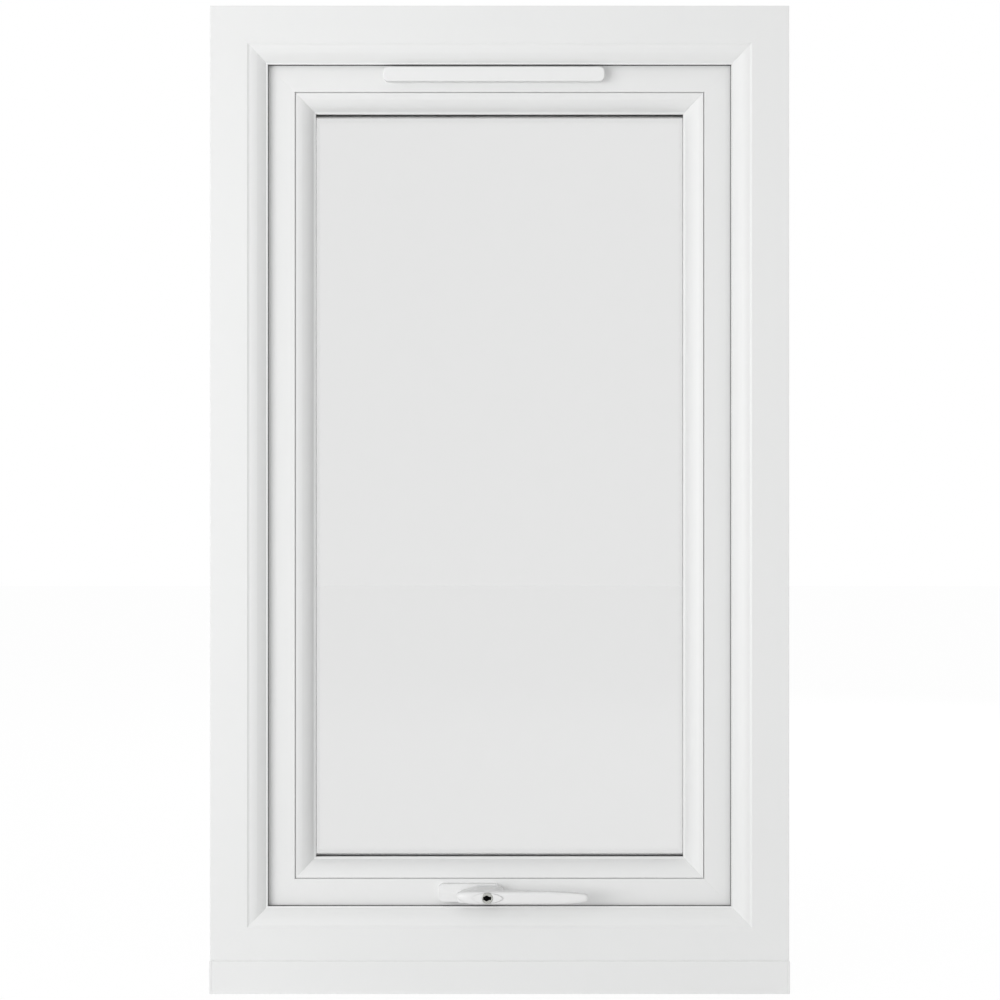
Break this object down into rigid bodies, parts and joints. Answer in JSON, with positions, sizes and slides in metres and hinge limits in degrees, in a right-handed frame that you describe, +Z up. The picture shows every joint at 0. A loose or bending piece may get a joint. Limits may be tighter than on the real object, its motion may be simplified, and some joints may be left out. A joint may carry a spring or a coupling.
{
  "type": "top-hung window",
  "caption": "White top-hung window with its outer frame and cill: sealed double glazing, inline locking handle, espagnolette, friction stays and a trickle vent.",
  "frame": {"origin": "underside of the cill, at the middle of the frame's width and of its 70 mm depth", "axes": "+X to the right as seen from the room, +Y to the outside, +Z up"},
  "size_m": [0.611, 0.173, 1.04],
  "materials": {
    "white_upvc": "smooth satin-gloss white uPVC",
    "galvanised_steel": "galvanised",
    "black_gasket": "matt black",
    "stainless_steel": "satin",
    "clear_glass": "clear float glass",
    "black_spacer": "matt black warm-edge spacer and sealant",
    "packer_plastic": "coloured glazing packers, hidden",
    "white_handle": "white powder-coated die casting",
    "white_vent": "white moulded plastic",
    "satin_lock": "satin nickel"
  },
  "bodies": {
    "frame": {"frame_head": "white_upvc", "frame_bottom_rail": "white_upvc", "frame_jamb_left": "white_upvc", "frame_jamb_right": "white_upvc", "frame_reinforcement": "galvanised_steel", "frame_weather_seal": "black_gasket", "cill": "white_upvc", "cill_end_cap_left": "white_upvc", "cill_end_cap_right": "white_upvc", "keep_left": "stainless_steel", "keep_right": "stainless_steel", "keep_screws": "stainless_steel", "stay_track_left": "stainless_steel", "stay_track_right": "stainless_steel", "stay_frame_screws": "stainless_steel"},
    "long_arm_left": {"stay_long_arm_left": "stainless_steel"},
    "long_arm_right": {"stay_long_arm_right": "stainless_steel"},
    "short_arm_left": {"stay_short_arm_left": "stainless_steel"},
    "short_arm_right": {"stay_short_arm_right": "stainless_steel"},
    "sash": {"sash_top_rail": "white_upvc", "sash_bottom_rail": "white_upvc", "sash_stile_left": "white_upvc", "sash_stile_right": "white_upvc", "sash_reinforcement": "galvanised_steel", "sash_weather_seal": "black_gasket", "bead_top": "white_upvc", "bead_bottom": "white_upvc", "bead_left": "white_upvc", "bead_right": "white_upvc", "glass_inner": "clear_glass", "glass_outer": "clear_glass", "spacer_bar": "black_spacer", "edge_sealant": "black_spacer", "glazing_gasket_inner": "black_gasket", "glazing_gasket_outer": "black_gasket", "glazing_packers": "packer_plastic", "espag_faceplate": "stainless_steel", "espag_gearbox": "stainless_steel", "faceplate_screws": "stainless_steel", "stay_sash_plate_left": "stainless_steel", "stay_sash_plate_right": "stainless_steel", "stay_sash_screws": "stainless_steel", "handle_base": "stainless_steel", "handle_cover": "white_handle", "handle_screws": "stainless_steel", "vent_body": "white_vent", "vent_canopy": "white_vent"},
    "handle": {"handle_lever": "white_handle", "handle_spindle": "stainless_steel", "drive_pinion": "stainless_steel"},
    "drive": {"drive_rail": "stainless_steel", "roller_cams": "stainless_steel"},
    "lock": {"lock_cylinder": "satin_lock"},
    "vent": {"vent_flap": "white_vent"}
  },
  "joints": [
    {"name": "sash_opening", "type": "hinge", "parent": "frame", "child": "long_arm_left", "pos_m": [-0.2557, -0.006, 0.72633], "axis": [-1, 0, 0], "range_deg": [0, 34.62]},
    {"name": "sash_tilt", "type": "hinge", "parent": "long_arm_left", "child": "sash", "pos_m": [-0.2557, -0.006, 0.89498], "axis": [1, 0, 0], "range_deg": [0, 79.62]},
    {"name": "long_arm_right_swing", "type": "hinge", "parent": "frame", "child": "long_arm_right", "pos_m": [0.2557, -0.006, 0.72633], "axis": [-1, 0, 0], "range_deg": [0, 34.62]},
    {"name": "short_arm_left_swing", "type": "hinge", "parent": "frame", "child": "short_arm_left", "pos_m": [-0.259, 0.024, 0.85169], "axis": [-1, 0, 0], "range_deg": [0, 60.38]},
    {"name": "short_arm_right_swing", "type": "hinge", "parent": "frame", "child": "short_arm_right", "pos_m": [0.259, 0.024, 0.85169], "axis": [-1, 0, 0], "range_deg": [0, 60.38]},
    {"name": "handle_turn", "type": "hinge", "parent": "sash", "child": "handle", "pos_m": [-0.0323, -0.03, 0.1043], "axis": [0, -1, 0], "range_deg": [0, 90]},
    {"name": "drive_rail_slide", "type": "slide", "parent": "sash", "child": "drive", "axis": [1, 0, 0], "range_m": [0, 0.0201]},
    {"name": "key_turn", "type": "hinge", "parent": "handle", "child": "lock", "pos_m": [-0.0126, -0.056, 0.1043], "axis": [0, -1, 0], "range_deg": [0, 90]},
    {"name": "vent_flap_tilt", "type": "hinge", "parent": "sash", "child": "vent", "pos_m": [-0.006, -0.02433, 0.9637], "axis": [1, 0, 0], "range_deg": [0, 25]}
  ],
  "couplings": [
    {"joint": "sash_tilt", "follows": "sash_opening", "ratio": 2.3},
    {"joint": "long_arm_right_swing", "follows": "sash_opening", "ratio": 1},
    {"joint": "short_arm_left_swing", "follows": "sash_opening", "ratio": 1.744},
    {"joint": "short_arm_right_swing", "follows": "sash_opening", "ratio": 1.744},
    {"joint": "drive_rail_slide", "follows": "handle_turn", "m_per_rad": 0.01275}
  ]
}
